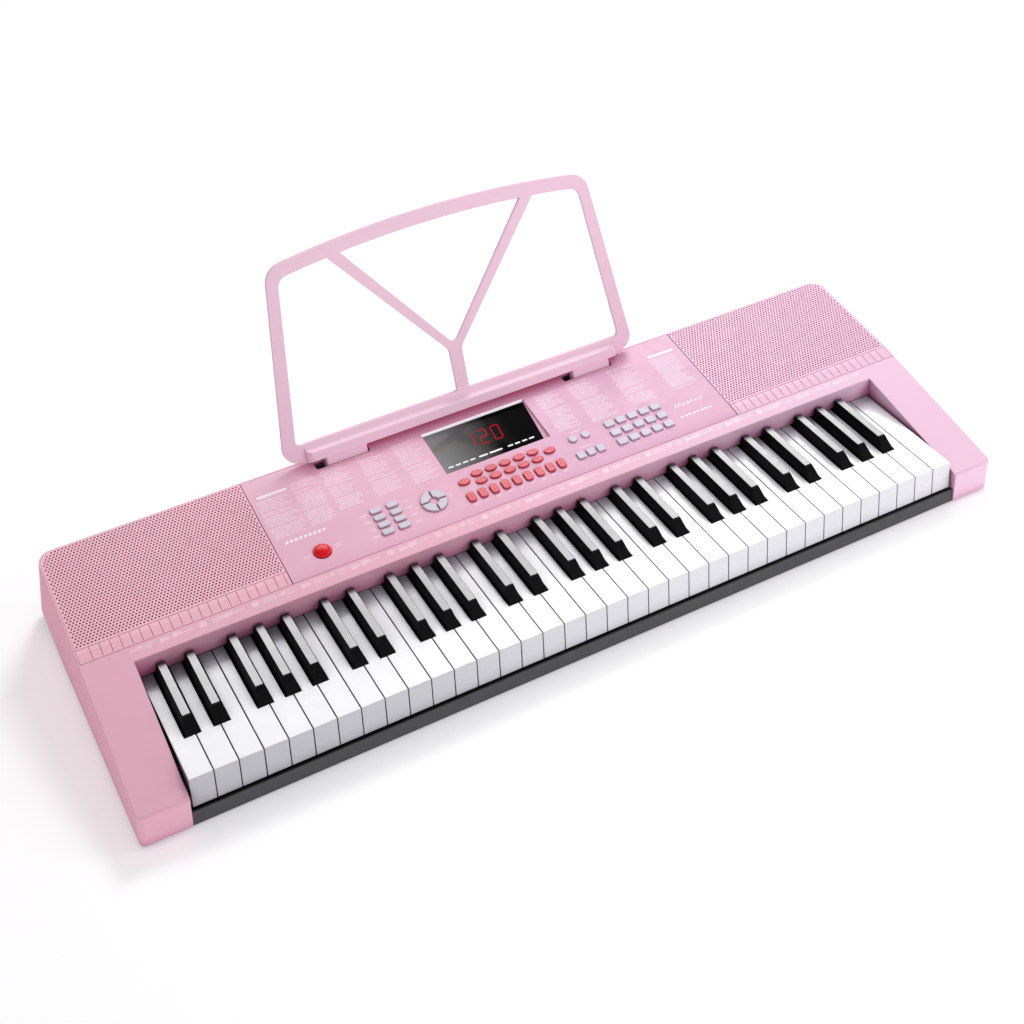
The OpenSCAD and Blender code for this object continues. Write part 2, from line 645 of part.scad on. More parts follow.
// ---------- buttons ----------
// button centres, [x, y]; y is measured level, not up the deck
function grid(x0, y0, dx, dy, cols, rows) =
  [for (c = [0 : cols - 1], r = [0 : rows - 1]) [x0 + c * dx, y0 + r * dy]];
mode_xy = grid(-149.9, 175.3, 18.2, 10.1, 2, 4);
oval_xy = concat(grid(-34.2, 194.7, 16.55, 11.3, 5, 2), [[-51.5, 200.4], [49.5, 200.4]]);
bar_xy = grid(-54.2, 178.8, 13.23, 0, 9, 1);
round_xy = [[79.6, 203.8], [95.2, 203.8]];
square_xy = grid(76, 179.5, 12, 0, 3, 1);
number_xy = grid(126, 177.9, 14.55, 14.15, 5, 3);
dpad_xy = [-91, 190.9];
dpad_angles = [45 : 90 : 315];
power_xy = [-218.6, 181.7];
all_buttons = concat(mode_xy, oval_xy, bar_xy, round_xy, square_xy, number_xy,
  [for (a = dpad_angles) dpad_xy + 9.5 * [cos(a), sin(a)]], [power_xy]);
web_z = -3.3;                     // web that joins a group of caps
web_top = -2.5;

// outlines, grown all round
module on_spots(places) for (p = places) translate([p[0], along(p[1])]) children();
module cap_rect(width, depth, r, grow) round_rect(width + 2 * grow, depth + 2 * grow, r + grow, 3);
module mode_shapes(grow) on_spots(mode_xy) cap_rect(12.4, 6.8, 2.2, grow);
module oval_shapes(grow) on_spots(oval_xy)
  polygon([for (i = [0 : 23]) [(6.5 + grow) * cos(i * 15), (4.1 + grow) * sin(i * 15)]]);
module bar_shapes(grow) on_spots(bar_xy) cap_rect(8.4, 12.6, 2.8, grow);
module round_shapes(grow) on_spots(round_xy) circle(r = 4.7 + grow, $fn = 32);
module square_shapes(grow) on_spots(square_xy) cap_rect(8.8, 9.6, 1.4, grow);
module number_shapes(grow) on_spots(number_xy) cap_rect(11, 8.8, 1.8, grow);
// quarter ring of the direction pad
module dpad_shape(angle, grow) on_spots([dpad_xy]) rotate(angle) intersection() {
  difference() {
    circle(r = 14 + grow, $fn = 64);
    circle(r = 5 - grow, $fn = 32);
  }
  polygon([[1.35 - grow * 1.4, 0], [21.35, 20], [21.35, -20]]);
}
module button_shapes(grow) {
  mode_shapes(grow);
  oval_shapes(grow);
  bar_shapes(grow);
  round_shapes(grow);
  square_shapes(grow);
  number_shapes(grow);
  for (a = dpad_angles) dpad_shape(a, grow);
  on_spots([power_xy]) circle(r = 9.3 + grow, $fn = 48);
}
module caps() translate([0, 0, -2.6]) linear_extrude(height = 2.6 + cap_h) children();
// caps from the child outline, joined by a web
module button_group(tint, x0, x1, y0, y1) color(tint) in_place() on_deck() {
  caps() children();
  box(x0, x1, along(y0), along(y1), web_z, web_top);
}

module mode_buttons() button_group(grey, -157, -124.5, 171, 210) mode_shapes(0);
module oval_buttons() button_group(coral, -58.5, 56.5, 190, 210.6) oval_shapes(0);
module bar_buttons() button_group(coral, -59, 57, 172.4, 185.2) bar_shapes(0);
module round_buttons() button_group(grey, 74, 101, 198.4, 209) round_shapes(0);
module square_buttons() button_group(grey, 71, 105, 174.2, 184.8) square_shapes(0);
module number_buttons() button_group(grey, 120, 190.5, 173, 211) number_shapes(0);
module dpad_button(angle) color(grey) in_place() on_deck() {
  caps() dpad_shape(angle, 0);
  translate([0, 0, web_z]) linear_extrude(height = web_top - web_z) dpad_shape(angle, 0.6);
}
module dpad_rear_right() dpad_button(45);
module dpad_rear_left() dpad_button(135);
module dpad_front_left() dpad_button(225);
module dpad_front_right() dpad_button(315);
// flanged round cap with a domed top
module power_button() color([0.85, 0.08, 0.12, 0.85]) in_place()
  on_deck(power_xy[0], power_xy[1]) rotate_extrude($fn = 48) polygon(concat(
    [[0, web_z], [10.6, web_z], [10.6, web_top], [9.2, web_top], [9.2, 0.9], [8.7, 1.5],
      [7.4, 1.7]],
    [for (i = [1 : 6]) [7.0 * cos(i * 15), 1.7 + 2.2 * sin(i * 15)]]));

// ---------- music rest ----------
// height at x of the arches over the outline and over the openings
function arch(x, top) = top - (arch_r - sqrt(arch_r * arch_r - x * x));
function edge(x) = arch(x, rest_top);
function sill(x) = arch(x, hole_top);
module rest_outline() polygon(concat(
  fillet([-100, 4.5], [-210.3, 4.5], [-210.3, 60], 18, 7),
  fillet([-210.3, 24], [-189.5, edge(189)], [-150, edge(150)], 22, 7),
  [for (i = [-7 : 7]) [i * 22, edge(i * 22)]],
  fillet([150, edge(150)], [189.5, edge(189)], [210.3, 24], 22, 7),
  fillet([210.3, 60], [210.3, 4.5], [100, 4.5], 18, 7)));
module rest_side_hole(side) polygon(concat(
  fillet([side * 60, 23.2], [side * 195.2, 23.2], [side * 179, 190], 5, 4),
  fillet([side * 195.2, 23.2], [side * 177.8, sill(178)], [side * 140, sill(140)], 12, 5),
  [[side * 150, sill(150)], [side * 136, sill(136)]],
  fillet([side * 136, sill(136)], [side * 122, sill(122)], [side * 9.5, 72], 2, 3),
  fillet([side * 122, sill(122)], [side * 7.6, 70], [side * 7.4, 30], 12, 4),
  fillet([side * 7.4, 60], [side * 7.2, 23.2], [side * 60, 23.2], 2, 3)));
module rest_mid_hole() polygon(concat(
  [for (i = [-4 : 4]) [i * 26.6, sill(i * 26.6)]],
  fillet([106.4, sill(106.4)], [0, 75], [-106.4, sill(106.4)], 6, 5)));
// side section of the shelf, [up the rest, forwards]
shelf_section = [
  [3.8, -1.5], [19, -1.5], [19, 0.1], [17, 0.9], [15.6, 2.6], [14.9, 5], [14.5, 6.8],
  [13.8, 7.7], [12.6, shelf_d], [4.6, shelf_d], [3.8, 7.2]];

module music_rest() color(pink) in_place() {
  on_rest() difference() {
    translate([0, 0, -rest_t]) linear_extrude(height = rest_t) rest_outline();
    translate([0, 0, -10]) linear_extrude(height = 20) {
      rest_side_hole(-1);
      rest_side_hole(1);
      rest_mid_hole();
    }
  }
  // shelf for the sheets, with round front corners
  on_rest() intersection() {
    translate([0, 30, 0]) rotate([90, 0, 0]) linear_extrude(height = 40)
      polygon(rounded(corners(-187, 187, -1, shelf_d + 0.1), [0, 0, 8.5, 8.5], 8));
    extrude_x(380) polygon(shelf_section);
  }
  for (x = rest_foot_x) rest_column(x[0], x[1], -12, 6, -0.3, 2.2);
}

bottom_case();
top_case();
control_panel();
grille_left();
grille_right();
display_window();
led_display();
key_frame();
contact_board();
rubber_contacts();
key_felt();
main_board();
panel_board();
panel_membrane();
speaker_basket_left();
speaker_basket_right();
speaker_cone_left();
speaker_cone_right();
speaker_magnet_left();
speaker_magnet_right();
battery_door();
battery_contacts();
usb_socket();
phones_jack();
rubber_feet();
case_screws();
board_screws();
music_rest();
white_comb_1();
white_comb_2();
white_comb_4();
white_comb_5();
black_comb_1();
black_comb_2();
black_comb_4();
black_comb_5();
key_c();
key_c_sharp();
key_d();
key_d_sharp();
key_e();
key_f();
key_f_sharp();
key_g();
key_g_sharp();
key_a();
key_a_sharp();
key_b();
key_top_c();
power_button();
dpad_rear_left();
dpad_front_right();
dpad_front_left();
dpad_rear_right();
mode_buttons();
oval_buttons();
bar_buttons();
round_buttons();
square_buttons();
number_buttons();
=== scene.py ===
import json
import math
import random

import bmesh
import bpy
from mathutils import Matrix, Vector


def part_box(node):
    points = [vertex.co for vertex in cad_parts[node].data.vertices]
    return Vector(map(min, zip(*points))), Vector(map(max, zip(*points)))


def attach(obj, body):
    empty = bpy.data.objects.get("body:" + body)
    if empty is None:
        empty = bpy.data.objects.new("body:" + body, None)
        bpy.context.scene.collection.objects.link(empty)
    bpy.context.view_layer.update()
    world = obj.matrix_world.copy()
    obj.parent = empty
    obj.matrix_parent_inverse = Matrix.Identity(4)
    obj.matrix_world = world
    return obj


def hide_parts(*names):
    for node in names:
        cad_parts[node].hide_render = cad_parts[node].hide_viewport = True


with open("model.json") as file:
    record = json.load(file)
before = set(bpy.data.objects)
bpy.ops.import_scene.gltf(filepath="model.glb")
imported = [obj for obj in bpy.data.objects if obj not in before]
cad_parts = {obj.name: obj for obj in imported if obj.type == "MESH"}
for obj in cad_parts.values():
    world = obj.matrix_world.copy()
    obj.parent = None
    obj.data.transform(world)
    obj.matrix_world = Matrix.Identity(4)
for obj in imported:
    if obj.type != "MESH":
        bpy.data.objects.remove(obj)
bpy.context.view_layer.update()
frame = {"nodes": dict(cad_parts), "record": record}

N = frame["nodes"]
SC = bpy.context.scene
YO, ZO = 178.3, 52.0
DA = math.radians(8.81)
RA = math.radians(16.5)
YB, ZB = 168.0, 27.9
SLOPE = (ZB + 12.8) / (YB + 6)


# ---------------------------------------------------------------- frames
def P(x, y, z):
    """Design millimetres (y from the key fronts, z from the key tops) to the row frame in metres."""
    return Vector((x / 1000, (y - YO) / 1000, (z + ZO) / 1000))


def Q(v):
    return Vector((v.x * 1000, v.y * 1000 + YO, v.z * 1000 - ZO))


def deck(x, s, h):
    return P(x, YB + s * math.cos(DA) - h * math.sin(DA), ZB + s * math.sin(DA) + h * math.cos(DA))


def S(y):
    return (y - YB) / math.cos(DA)


FA = math.atan(SLOPE)


def front(x, t, h):
    """On the front slope: t runs from the bend (0) towards the keys."""
    return P(x, YB - t * math.cos(FA) - h * math.sin(FA), ZB - t * math.sin(FA) + h * math.cos(FA))


def rest(x, t, d):
    """On the music rest: t up the plate, d in front of its front face."""
    c, s = math.cos(RA), math.sin(RA)
    return P(x, 293.4 + t * s - d * c, 48.0 + t * c + d * s)


def topz(y):
    return ZB + (y - YB) * (SLOPE if y < YB else math.tan(DA))


# ---------------------------------------------------------------- materials
def ramp(nt, a, b, ca, cb):
    r = nt.nodes.new("ShaderNodeValToRGB")
    r.color_ramp.elements[0].position = a
    r.color_ramp.elements[1].position = b
    r.color_ramp.elements[0].color = (ca, ca, ca, 1)
    r.color_ramp.elements[1].color = (cb, cb, cb, 1)
    return r


def ramp_in(nt, src, a, b):
    r = ramp(nt, a, b, 0, 1)
    nt.links.new(src, r.inputs[0])
    return r.outputs[0]


def mat(name, rgb, rough=0.4, var=0.05, grain=1500.0, bump=0.05, coat=0.0, spec=0.5, metal=0.0,
        wear=0.12, rv=0.08, bevel=0.0, sheen=0.0, emit=None, power=0.0, patch=7.0, trans=0.0, sss=0.0,
        deep=None, reach=0.003, crough=0.08, gap_shade=None, painted_light_along_x=None, flat_sides=False, mark=None, span=(0.15, 0.85)):
    m = bpy.data.materials.new(name)
    m.use_nodes = True
    nt = m.node_tree
    b = nt.nodes["Principled BSDF"]
    L = nt.links.new
    tc = nt.nodes.new("ShaderNodeTexCoord")

    def noise(scale, detail, rgh=0.55):
        n = nt.nodes.new("ShaderNodeTexNoise")
        n.inputs["Scale"].default_value = scale
        n.inputs["Detail"].default_value = detail
        n.inputs["Roughness"].default_value = rgh
        L(tc.outputs["Object"], n.inputs["Vector"])
        return n

    broad, mid, fine = noise(patch, 3), noise(90.0, 4), noise(grain, 2)
    lo = [max(0, c * (1 - var)) for c in rgb]
    hi = [min(1, c * (1 + var)) for c in rgb]
    mix = nt.nodes.new("ShaderNodeMix")
    mix.data_type = "RGBA"
    mix.inputs[6].default_value = (*lo, 1)
    mix.inputs[7].default_value = (*hi, 1)
    L(broad.outputs["Fac"], mix.inputs[0])
    geo = nt.nodes.new("ShaderNodeNewGeometry")
    edge = ramp(nt, 0.50, 0.60, 0, wear)
    L(geo.outputs["Pointiness"], edge.inputs[0])
    light = nt.nodes.new("ShaderNodeMix")
    light.data_type = "RGBA"
    light.inputs[7].default_value = (*[min(1, c * 0.55 + 0.42) for c in rgb], 1)
    L(edge.outputs[0], light.inputs[0])
    L(mix.outputs[2], light.inputs[6])
    if painted_light_along_x:
        # painted light: the colour shifts along X towards a second colour, standing in for how the light falls across
        # the length
        sx = nt.nodes.new("ShaderNodeSeparateXYZ")
        L(geo.outputs["Position"], sx.inputs[0])
        ax = nt.nodes.new("ShaderNodeMapRange")
        ax.interpolation_type = "SMOOTHSTEP"
        ax.inputs[1].default_value, ax.inputs[2].default_value = painted_light_along_x[1], painted_light_along_x[2]
        L(sx.outputs["X"], ax.inputs[0])
        am = nt.nodes.new("ShaderNodeMix")
        am.data_type = "RGBA"
        am.inputs[7].default_value = (*painted_light_along_x[0], 1)
        # rear-facing faces get a fixed 0.3 share of the painted light gradient
        an = nt.nodes.new("ShaderNodeSeparateXYZ")
        L(geo.outputs["Normal"], an.inputs[0])
        rear = nt.nodes.new("ShaderNodeMapRange")
        rear.inputs[1].default_value, rear.inputs[2].default_value = 0.35, 0.75
        L(an.outputs["Y"], rear.inputs[0])
        even = nt.nodes.new("ShaderNodeMix")
        even.inputs[3].default_value = 0.3
        L(rear.outputs[0], even.inputs[0])
        L(ax.outputs[0], even.inputs[2])
        L(even.outputs[0], am.inputs[0])
        L(light.outputs[2], am.inputs[6])
        light = am
    if mark:
        # a short raised-looking dash printed in the middle of each cap
        gs = nt.nodes.new("ShaderNodeSeparateXYZ")
        gn = nt.nodes.new("ShaderNodeSeparateXYZ")
        L(tc.outputs["Object"], gs.inputs[0])
        L(geo.outputs["Normal"], gn.inputs[0])
        wave = []
        for axis, pitch, phase, wide in mark[1]:
            m1 = nt.nodes.new("ShaderNodeMath")
            m1.operation = "MULTIPLY_ADD"
            m1.inputs[1].default_value, m1.inputs[2].default_value = 1.0 / pitch, phase
            L(gs.outputs[axis], m1.inputs[0])
            m2 = nt.nodes.new("ShaderNodeMath")
            m2.operation = "PINGPONG"
            m2.inputs[1].default_value = 0.5
            L(m1.outputs[0], m2.inputs[0])
            m3 = nt.nodes.new("ShaderNodeMath")
            m3.operation = "LESS_THAN"
            m3.inputs[1].default_value = wide
            L(m2.outputs[0], m3.inputs[0])
            wave.append(m3)
        up = nt.nodes.new("ShaderNodeMath")
        up.operation = "GREATER_THAN"
        up.inputs[1].default_value = 0.95
        L(gn.outputs["Z"], up.inputs[0])
        pr = nt.nodes.new("ShaderNodeMath")
        pr.operation = "MULTIPLY"
        L(wave[0].outputs[0], pr.inputs[0])
        L(wave[1].outputs[0], pr.inputs[1])
        pq = nt.nodes.new("ShaderNodeMath")
        pq.operation = "MULTIPLY"
        L(pr.outputs[0], pq.inputs[0])
        L(up.outputs[0], pq.inputs[1])
        pw = nt.nodes.new("ShaderNodeMath")
        pw.operation = "MULTIPLY"
        pw.inputs[1].default_value = 0.42
        L(pq.outputs[0], pw.inputs[0])
        mk = nt.nodes.new("ShaderNodeMix")
        mk.data_type = "RGBA"
        mk.inputs[7].default_value = (*mark[0], 1)
        L(pw.outputs[0], mk.inputs[0])
        L(light.outputs[2], mk.inputs[6])
        light = mk
    if deep:
        # painted shade: where ambient occlusion finds crevices, recesses and neighbouring parts, the colour is
        # darkened towards a deeper, more saturated tone
        ao = nt.nodes.new("ShaderNodeAmbientOcclusion")
        ao.samples = 6
        ao.inputs["Distance"].default_value = reach
        shade = nt.nodes.new("ShaderNodeMix")
        shade.data_type = "RGBA"
        shade.inputs[6].default_value = (*deep, 1)
        # with a fourth colour given, the painted shade colour also shifts along X
        if painted_light_along_x and len(painted_light_along_x) > 3:
            dm = nt.nodes.new("ShaderNodeMix")
            dm.data_type = "RGBA"
            dm.inputs[6].default_value = (*deep, 1)
            dm.inputs[7].default_value = (*painted_light_along_x[3], 1)
            L(ax.outputs[0], dm.inputs[0])
            L(dm.outputs[2], shade.inputs[6])
        L(ramp_in(nt, ao.outputs["AO"], *span), shade.inputs[0])
        L(light.outputs[2], shade.inputs[7])
        last = shade
        if gap_shade:
            # painted shade: narrow gaps fall off to near black
            last = nt.nodes.new("ShaderNodeMix")
            last.data_type = "RGBA"
            last.inputs[6].default_value = (*gap_shade, 1)
            L(ramp_in(nt, ao.outputs["AO"], 0.05, 0.3), last.inputs[0])
            L(shade.outputs[2], last.inputs[7])
        L(last.outputs[2], b.inputs["Base Color"])
    else:
        L(light.outputs[2], b.inputs["Base Color"])
    rr = nt.nodes.new("ShaderNodeMapRange")
    rr.inputs[1].default_value, rr.inputs[2].default_value = 0.3, 0.7
    rr.inputs[3].default_value, rr.inputs[4].default_value = max(0.02, rough - rv), min(1, rough + rv)
    L(mid.outputs["Fac"], rr.inputs[0])
    L(rr.outputs[0], b.inputs["Roughness"])
    bp = nt.nodes.new("ShaderNodeBump")
    bp.inputs["Strength"].default_value = bump
    bp.inputs["Distance"].default_value = 0.0003
    L(fine.outputs["Fac"], bp.inputs["Height"])
    if bevel:
        bv = nt.nodes.new("ShaderNodeBevel")
        bv.samples = 4
        bv.inputs["Radius"].default_value = bevel
        L(bv.outputs[0], bp.inputs["Normal"])
    L(bp.outputs[0], b.inputs["Normal"])
    b.inputs["Metallic"].default_value = metal
    b.inputs["Specular IOR Level"].default_value = spec
    b.inputs["Coat Weight"].default_value = coat
    b.inputs["Coat Roughness"].default_value = crough
    if not flat_sides and not coat and not metal and name != "display_glass":
        # satin plastic: the gloss fades out towards grazing angles
        lw = nt.nodes.new("ShaderNodeLayerWeight")
        lw.inputs["Blend"].default_value = 0.5
        fade = nt.nodes.new("ShaderNodeMapRange")
        fade.inputs[1].default_value, fade.inputs[2].default_value = 0.45, 0.72
        fade.inputs[3].default_value, fade.inputs[4].default_value = spec, 0.0
        L(lw.outputs["Facing"], fade.inputs[0])
        L(fade.outputs[0], b.inputs["Specular IOR Level"])
    if flat_sides:
        # the tops are polished, the sides are left matt
        ns = nt.nodes.new("ShaderNodeSeparateXYZ")
        L(geo.outputs["Normal"], ns.inputs[0])
        for key, top in (("Specular IOR Level", spec), ("Coat Weight", coat)):
            k = nt.nodes.new("ShaderNodeMapRange")
            k.inputs[1].default_value, k.inputs[2].default_value = 0.75, 0.97
            k.inputs[3].default_value, k.inputs[4].default_value = 0.06 * top, top
            L(ns.outputs["Z"], k.inputs[0])
            L(k.outputs[0], b.inputs[key])
    b.inputs["Sheen Weight"].default_value = sheen
    b.inputs["Transmission Weight"].default_value = trans
    if sss:
        b.inputs["Subsurface Weight"].default_value = sss
        b.inputs["Subsurface Radius"].default_value = (0.002, 0.001, 0.001)
    if emit:
        b.inputs["Emission Color"].default_value = (*emit, 1)
        b.inputs["Emission Strength"].default_value = power
    return m


def lin(r, g, b):
    return tuple(((c / 255) / 12.92 if c / 255 <= 0.04045 else ((c / 255 + 0.055) / 1.055) ** 2.4) for c in (r, g, b))


M = {
    # the deep= colours are painted shade in crevices and between parts; the X-gradient colours are painted light
    # across the length
    "pink_case": mat("pink_case", lin(247, 186, 205), 0.42, 0.035, 1700, 0.10, bevel=0.0004, spec=0.22, deep=lin(188, 84, 142), reach=0.02,
                     painted_light_along_x=(lin(248, 208, 231), -0.15, 0.42)),
    "pink_panel": mat("pink_panel", lin(237, 177, 201), 0.40, 0.035, 1700, 0.08, bevel=0.0003, spec=0.22, deep=lin(192, 84, 128), reach=0.022,
                      painted_light_along_x=(lin(227, 173, 201), -0.15, 0.12)),
    "pink_grille": mat("pink_grille", lin(254, 190, 208), 0.42, 0.04, 1700, 0.08, spec=0.22, deep=lin(200, 84, 130), reach=0.0020,
                       painted_light_along_x=(lin(246, 200, 224), -0.1, 0.38)),
    # painted light: the rest's pink is a lighter copy of the case pink, standing in for the light on the rest
    "pink_rest": mat("pink_rest", lin(254, 214, 233), 0.42, 0.035, 1700, 0.08, spec=0.25, deep=lin(206, 116, 156), reach=0.005),
    "charcoal": mat("charcoal", lin(30, 30, 34), 0.55, 0.08, 900, 0.35, bevel=0.0004),
    # painted shadow of the black keys on the white keys between them, and painted shade that greys the keys towards
    # the left
    "key_white": mat("key_white", lin(207, 206, 213), 0.24, 0.012, 2600, 0.015, coat=0.08, spec=0.35, wear=0.04, rv=0.04, crough=0.15,
                     deep=lin(112, 112, 121), reach=0.034, gap_shade=lin(10, 10, 13), span=(0.45, 1.0),
                     painted_light_along_x=(lin(240, 240, 244), -0.42, 0.2, lin(176, 174, 184))),
    "key_black": mat("key_black", lin(9, 8, 10), 0.30, 0.10, 2600, 0.012, coat=0.20, wear=0.02, rv=0.03, crough=0.25, flat_sides=True),
    "button_grey": mat("button_grey", lin(216, 208, 222), 0.45, 0.03, 2000, 0.06, spec=0.25, deep=lin(150, 130, 150)),
    "button_coral": mat("button_coral", lin(229, 78, 94), 0.45, 0.05, 2000, 0.06, spec=0.2, deep=lin(160, 34, 54), reach=0.006,
                        mark=(lin(250, 190, 196), ((0, 0.0033, 0.0, 0.34), (1, 0.0019, 0.0, 0.20)))),
    "power_red": mat("power_red", lin(236, 20, 34), 0.3, 0.08, 2600, 0.02, coat=0.0, spec=0.12, deep=lin(90, 4, 14), reach=0.005),
    "display_glass": mat("display_glass", (0.012, 0.012, 0.014), 0.08, 0.2, 3000, 0.01, spec=0.35, wear=0.0, rv=0.02),
    "display_module": mat("display_module", (0.02, 0.02, 0.02), 0.4),
    "frame_plastic": mat("frame_plastic", lin(208, 207, 202), 0.5),
    "circuit_board": mat("circuit_board", lin(24, 96, 54), 0.35, 0.15, 500, 0.1, patch=40),
    "silicone": mat("silicone", lin(220, 219, 214), 0.6),
    "felt": mat("felt", lin(176, 34, 36), 0.95, 0.2, 1200, 0.9, sheen=0.6),
    "basket_black": mat("basket_black", lin(30, 30, 32), 0.5, bevel=0.0003),
    "cone_black": mat("cone_black", lin(26, 26, 28), 0.9, 0.2, 700, 0.6),
    "magnet_steel": mat("magnet_steel", lin(150, 150, 154), 0.35, 0.08, 900, 0.1, metal=1.0, bevel=0.0004),
    "contact_steel": mat("contact_steel", lin(200, 200, 204), 0.3, 0.08, 900, 0.08, metal=1.0, bevel=0.0002),
    "screw_steel": mat("screw_steel", lin(176, 176, 180), 0.34, 0.1, 900, 0.12, metal=1.0, bevel=0.0002),
    "socket_black": mat("socket_black", lin(24, 24, 25), 0.4, 0.1, 1200, 0.1, bevel=0.0003),
    "foot_rubber": mat("foot_rubber", lin(34, 34, 35), 0.85, 0.15, 700, 0.5, bevel=0.0005),
    "print": mat("print", lin(253, 238, 246), 0.5, 0.02, 2500, 0.02, wear=0),
    # painted light: the strip marks lighten towards the right
    "print_faint": mat("print_faint", lin(249, 205, 219), 0.5, 0.02, 2500, 0.02, wear=0, painted_light_along_x=(lin(252, 226, 240), -0.2, 0.3)),
    "print_soft": mat("print_soft", lin(251, 226, 239), 0.5, 0.02, 2500, 0.02, wear=0),
    "print_white": mat("print_white", lin(250, 248, 250), 0.45, 0.01, 2500, 0.02, wear=0),
    # painted glow: the white edge has emission though it is no lamp
    "edge_white_glow": mat("edge_white_glow", lin(250, 248, 250), 0.45, 0.01, 2500, 0.02, wear=0, emit=(1, 0.97, 0.99), power=0.35),
    "print_dark": mat("print_dark", lin(150, 150, 154), 0.5, 0.02, 2500, 0.02, wear=0),
    "led_red": mat("led_red", lin(120, 3, 12), 0.6, 0.05, 2500, 0.01, spec=0.0, wear=0, emit=(1.0, 0.012, 0.035), power=0.42),
}

# smoked window: a painted reflection, the base colour grey on its left falling off to black towards the right, with
# the specular level falling off too
g = M["display_glass"]
nt = g.node_tree
b = nt.nodes["Principled BSDF"]
tc = nt.nodes.new("ShaderNodeTexCoord")
sep = nt.nodes.new("ShaderNodeSeparateXYZ")
nt.links.new(tc.outputs["Object"], sep.inputs[0])
mr = nt.nodes.new("ShaderNodeMapRange")
mr.inputs[1].default_value, mr.inputs[2].default_value = -0.064, 0.010
mr.inputs[3].default_value, mr.inputs[4].default_value = 0.29, 0.003
nt.links.new(sep.outputs["X"], mr.inputs[0])
sh = nt.nodes.new("ShaderNodeMapRange")
sh.inputs[1].default_value, sh.inputs[2].default_value = -0.062, 0.03
sh.inputs[3].default_value, sh.inputs[4].default_value = 0.03, 0.002
nt.links.new(sep.outputs["X"], sh.inputs[0])
nt.links.new(sh.outputs[0], b.inputs["Specular IOR Level"])
cmb = nt.nodes.new("ShaderNodeCombineColor")
for i in range(3):
    nt.links.new(mr.outputs[0], cmb.inputs[i])
nz = nt.nodes.new("ShaderNodeTexNoise")
nz.inputs["Scale"].default_value = 30
nt.links.new(tc.outputs["Object"], nz.inputs["Vector"])
mx = nt.nodes.new("ShaderNodeMix")
mx.data_type = "RGBA"
mx.blend_type = "MULTIPLY"
mx.inputs[0].default_value = 0.25
nt.links.new(cmb.outputs[0], mx.inputs[6])
nt.links.new(nz.outputs["Color"], mx.inputs[7])
nt.links.new(mx.outputs[2], b.inputs["Base Color"])


# ---------------------------------------------------------------- mesh tools
def paint(o, slot):
    o.data.materials.clear()
    o.data.materials.append(M[slot])
    for p in o.data.polygons:
        p.material_index = 0


def finish_mesh(o, angle=34, weighted=True):
    o.data.shade_smooth()
    o.data.set_sharp_from_angle(angle=math.radians(angle))
    if weighted:
        w = o.modifiers.new("wn", "WEIGHTED_NORMAL")
        w.keep_sharp = True


def new_object(name, bm, slot, body, angle=34, weighted=True):
    me = bpy.data.meshes.new(name)
    bm.to_mesh(me)
    bm.free()
    o = bpy.data.objects.new(name, me)
    SC.collection.objects.link(o)
    paint(o, slot)
    finish_mesh(o, angle, weighted)
    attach(o, body)
    return o


def clean_copy(node, flat=0.6):
    """A CAD node's mesh with its split corners joined and its flat faces merged."""
    bm = bmesh.new()
    bm.from_mesh(N[node].data)
    bmesh.ops.remove_doubles(bm, verts=bm.verts, dist=3e-6)
    bmesh.ops.dissolve_limit(bm, angle_limit=math.radians(flat), verts=bm.verts, edges=bm.edges)
    for f in bm.faces:
        f.smooth = False
    return bm


def soften(bm, pick, width, seg=2, angle=20):
    """Rounds the sharp edges for which pick(a, b) holds, a and b in design millimetres."""
    lim = math.radians(angle)
    edges = []
    for e in bm.edges:
        if len(e.link_faces) != 2 or e.calc_face_angle(0) < lim:
            continue
        if pick(Q(e.verts[0].co), Q(e.verts[1].co)):
            edges.append(e)
    if edges:
        bmesh.ops.bevel(bm, geom=edges, offset=width / 1000, offset_type="OFFSET", segments=seg, profile=0.5,
                        affect="EDGES", clamp_overlap=False, loop_slide=True)
    return len(edges)


def refined(node, slot, body, steps, name=None):
    bm = clean_copy(node)
    for pick, width, seg in steps:
        soften(bm, pick, width, seg)
    bmesh.ops.remove_doubles(bm, verts=bm.verts, dist=4e-5)
    bmesh.ops.recalc_face_normals(bm, faces=bm.faces)
    o = new_object(name or node + "_skin", bm, slot, body)
    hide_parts(node)
    return o


def slab(bm, pts, place, h0, h1):
    """A thin closed slab from a 2-D outline laid on a surface."""
    top = [bm.verts.new(place(x, y, h1)) for x, y in pts]
    bot = [bm.verts.new(place(x, y, h0)) for x, y in pts]
    bm.faces.new(top)
    bm.faces.new(list(reversed(bot)))
    n = len(pts)
    for i in range(n):
        j = (i + 1) % n
        bm.faces.new((bot[i], bot[j], top[j], top[i]))


def bar(cx, cy, w, h, slant=0.0, r=0.0):
    """A bar outline, counter-clockwise, with rounded ends if r > 0."""
    if r <= 0:
        return [(cx - w / 2 - slant * h / 2, cy - h / 2), (cx + w / 2 - slant * h / 2, cy - h / 2),
                (cx + w / 2 + slant * h / 2, cy + h / 2), (cx - w / 2 + slant * h / 2, cy + h / 2)]
    out = []
    for qx, qy, a0 in ((w / 2 - r, -h / 2 + r, -90), (w / 2 - r, h / 2 - r, 0), (-w / 2 + r, h / 2 - r, 90), (-w / 2 + r, -h / 2 + r, 180)):
        for k in range(4):
            a = math.radians(a0 + 30 * k)
            out.append((cx + qx + r * math.cos(a) + slant * (qy + r * math.sin(a)), cy + qy + r * math.sin(a)))
    return out


def disc(cx, cy, r, n=14):
    return [(cx + r * math.cos(2 * math.pi * i / n), cy + r * math.sin(2 * math.pi * i / n)) for i in range(n)]


